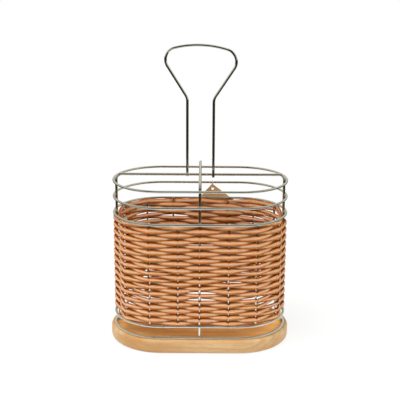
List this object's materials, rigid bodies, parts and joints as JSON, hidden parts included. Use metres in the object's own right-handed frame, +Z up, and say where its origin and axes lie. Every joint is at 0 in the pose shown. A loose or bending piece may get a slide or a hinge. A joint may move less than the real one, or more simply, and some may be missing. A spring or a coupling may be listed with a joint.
{
  "type": "spoon holder",
  "caption": "Oval table-top spoon holder with a woven cane wall between plated wire rings on a wooden base, crossed arches that part its mouth, a tall wire handle and a card tag.",
  "frame": {"origin": "middle of the base's underside, on the table", "axes": "+X along the length, to the right seen from the front; the front faces -Y; +Z up"},
  "size_m": [0.177, 0.1086, 0.293],
  "materials": {
    "beech": "clear satin lacquer",
    "chromed_wire": "bright plated",
    "plastic_cane": "extruded, fine lengthwise grain, satin",
    "kraft_card": "uncoated",
    "clear_nylon": "moulded"
  },
  "bodies": {
    "holder": {"wooden_base": "beech", "base_ring": "chromed_wire", "weave_bottom_ring": "chromed_wire", "weave_rim_ring": "chromed_wire", "middle_guard_ring": "chromed_wire", "top_guard_ring": "chromed_wire", "long_arch_wire": "chromed_wire", "cross_arch_wire": "chromed_wire", "handle_loop": "chromed_wire", "stake_front_right_1": "chromed_wire", "stake_front_right_2": "chromed_wire", "stake_front_right_3": "chromed_wire", "stake_rear_right_1": "chromed_wire", "stake_rear_right_2": "chromed_wire", "stake_rear_right_3": "chromed_wire", "stake_rear_left_1": "chromed_wire", "stake_rear_left_2": "chromed_wire", "stake_rear_left_3": "chromed_wire", "stake_front_left_1": "chromed_wire", "stake_front_left_2": "chromed_wire", "stake_front_left_3": "chromed_wire", "weave_strand_lower": "plastic_cane", "weave_strand_upper": "plastic_cane"},
    "tag": {"tag_card": "kraft_card", "tag_loop": "clear_nylon"}
  },
  "joints": [
    {"name": "tag_swing", "type": "hinge", "parent": "holder", "child": "tag", "pos_m": [0.0125, 0.047, 0.1459], "axis": [1, 0, 0], "range_deg": [0, 150]}
  ]
}
